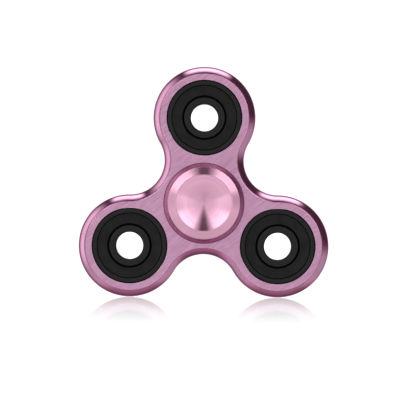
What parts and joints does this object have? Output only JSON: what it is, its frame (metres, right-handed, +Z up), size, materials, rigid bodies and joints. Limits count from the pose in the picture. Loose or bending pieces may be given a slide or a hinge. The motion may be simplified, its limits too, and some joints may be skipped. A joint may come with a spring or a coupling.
{
  "type": "fidget spinner",
  "caption": "Flat three-lobed spinner with rounded edges, ball bearings in its lobes and dished finger caps on a central bearing.",
  "frame": {"origin": "middle of the centre bearing, on the spin axis at mid thickness, which is also the centroid", "axes": "+Y along the spin axis towards the back, +Z up through one lobe as it stands on the other two, +X to the right seen from the front"},
  "size_m": [0.0734, 0.014, 0.0675],
  "materials": {
    "anodised_plate": "satin",
    "turned_cap": "satin",
    "black_ring": "satin",
    "seal_rubber": "matte",
    "cage_nylon": "matte",
    "ball_steel": "polished"
  },
  "bodies": {
    "hub": {"front_cap": "turned_cap", "back_cap": "turned_cap", "centre_inner_ring": "black_ring"},
    "spinner": {"spinner_body": "anodised_plate", "centre_outer_ring": "black_ring", "centre_front_seal": "seal_rubber", "centre_rear_seal": "seal_rubber", "top_outer_ring": "black_ring", "top_front_seal": "seal_rubber", "top_rear_seal": "seal_rubber", "left_outer_ring": "black_ring", "left_front_seal": "seal_rubber", "left_rear_seal": "seal_rubber", "right_outer_ring": "black_ring", "right_front_seal": "seal_rubber", "right_rear_seal": "seal_rubber"},
    "centre_balls": {"centre_cage": "cage_nylon", "centre_ball_1": "ball_steel", "centre_ball_2": "ball_steel", "centre_ball_3": "ball_steel", "centre_ball_4": "ball_steel", "centre_ball_5": "ball_steel", "centre_ball_6": "ball_steel", "centre_ball_7": "ball_steel"},
    "top_ring": {"top_inner_ring": "black_ring"},
    "top_balls": {"top_cage": "cage_nylon", "top_ball_1": "ball_steel", "top_ball_2": "ball_steel", "top_ball_3": "ball_steel", "top_ball_4": "ball_steel", "top_ball_5": "ball_steel", "top_ball_6": "ball_steel", "top_ball_7": "ball_steel"},
    "left_ring": {"left_inner_ring": "black_ring"},
    "left_balls": {"left_cage": "cage_nylon", "left_ball_1": "ball_steel", "left_ball_2": "ball_steel", "left_ball_3": "ball_steel", "left_ball_4": "ball_steel", "left_ball_5": "ball_steel", "left_ball_6": "ball_steel", "left_ball_7": "ball_steel"},
    "right_ring": {"right_inner_ring": "black_ring"},
    "right_balls": {"right_cage": "cage_nylon", "right_ball_1": "ball_steel", "right_ball_2": "ball_steel", "right_ball_3": "ball_steel", "right_ball_4": "ball_steel", "right_ball_5": "ball_steel", "right_ball_6": "ball_steel", "right_ball_7": "ball_steel"}
  },
  "joints": [
    {"name": "body_spin", "type": "hinge", "parent": "hub", "child": "spinner", "pos_m": [0, 0, 0], "axis": [0, 1, 0], "continuous": true},
    {"name": "centre_ball_orbit", "type": "hinge", "parent": "hub", "child": "centre_balls", "pos_m": [0, 0, 0], "axis": [0, 1, 0], "continuous": true},
    {"name": "top_ring_spin", "type": "hinge", "parent": "spinner", "child": "top_ring", "pos_m": [0, 0, 0.025], "axis": [0, 1, 0], "continuous": true},
    {"name": "top_ball_orbit", "type": "hinge", "parent": "spinner", "child": "top_balls", "pos_m": [0, 0, 0.025], "axis": [0, 1, 0], "continuous": true},
    {"name": "left_ring_spin", "type": "hinge", "parent": "spinner", "child": "left_ring", "pos_m": [-0.02165, 0, -0.0125], "axis": [0, 1, 0], "continuous": true},
    {"name": "left_ball_orbit", "type": "hinge", "parent": "spinner", "child": "left_balls", "pos_m": [-0.02165, 0, -0.0125], "axis": [0, 1, 0], "continuous": true},
    {"name": "right_ring_spin", "type": "hinge", "parent": "spinner", "child": "right_ring", "pos_m": [0.02165, 0, -0.0125], "axis": [0, 1, 0], "continuous": true},
    {"name": "right_ball_orbit", "type": "hinge", "parent": "spinner", "child": "right_balls", "pos_m": [0.02165, 0, -0.0125], "axis": [0, 1, 0], "continuous": true}
  ],
  "couplings": [
    {"joint": "centre_ball_orbit", "follows": "body_spin", "ratio": 0.6323},
    {"joint": "top_ball_orbit", "follows": "top_ring_spin", "ratio": 0.3677},
    {"joint": "left_ball_orbit", "follows": "left_ring_spin", "ratio": 0.3677},
    {"joint": "right_ball_orbit", "follows": "right_ring_spin", "ratio": 0.3677}
  ]
}
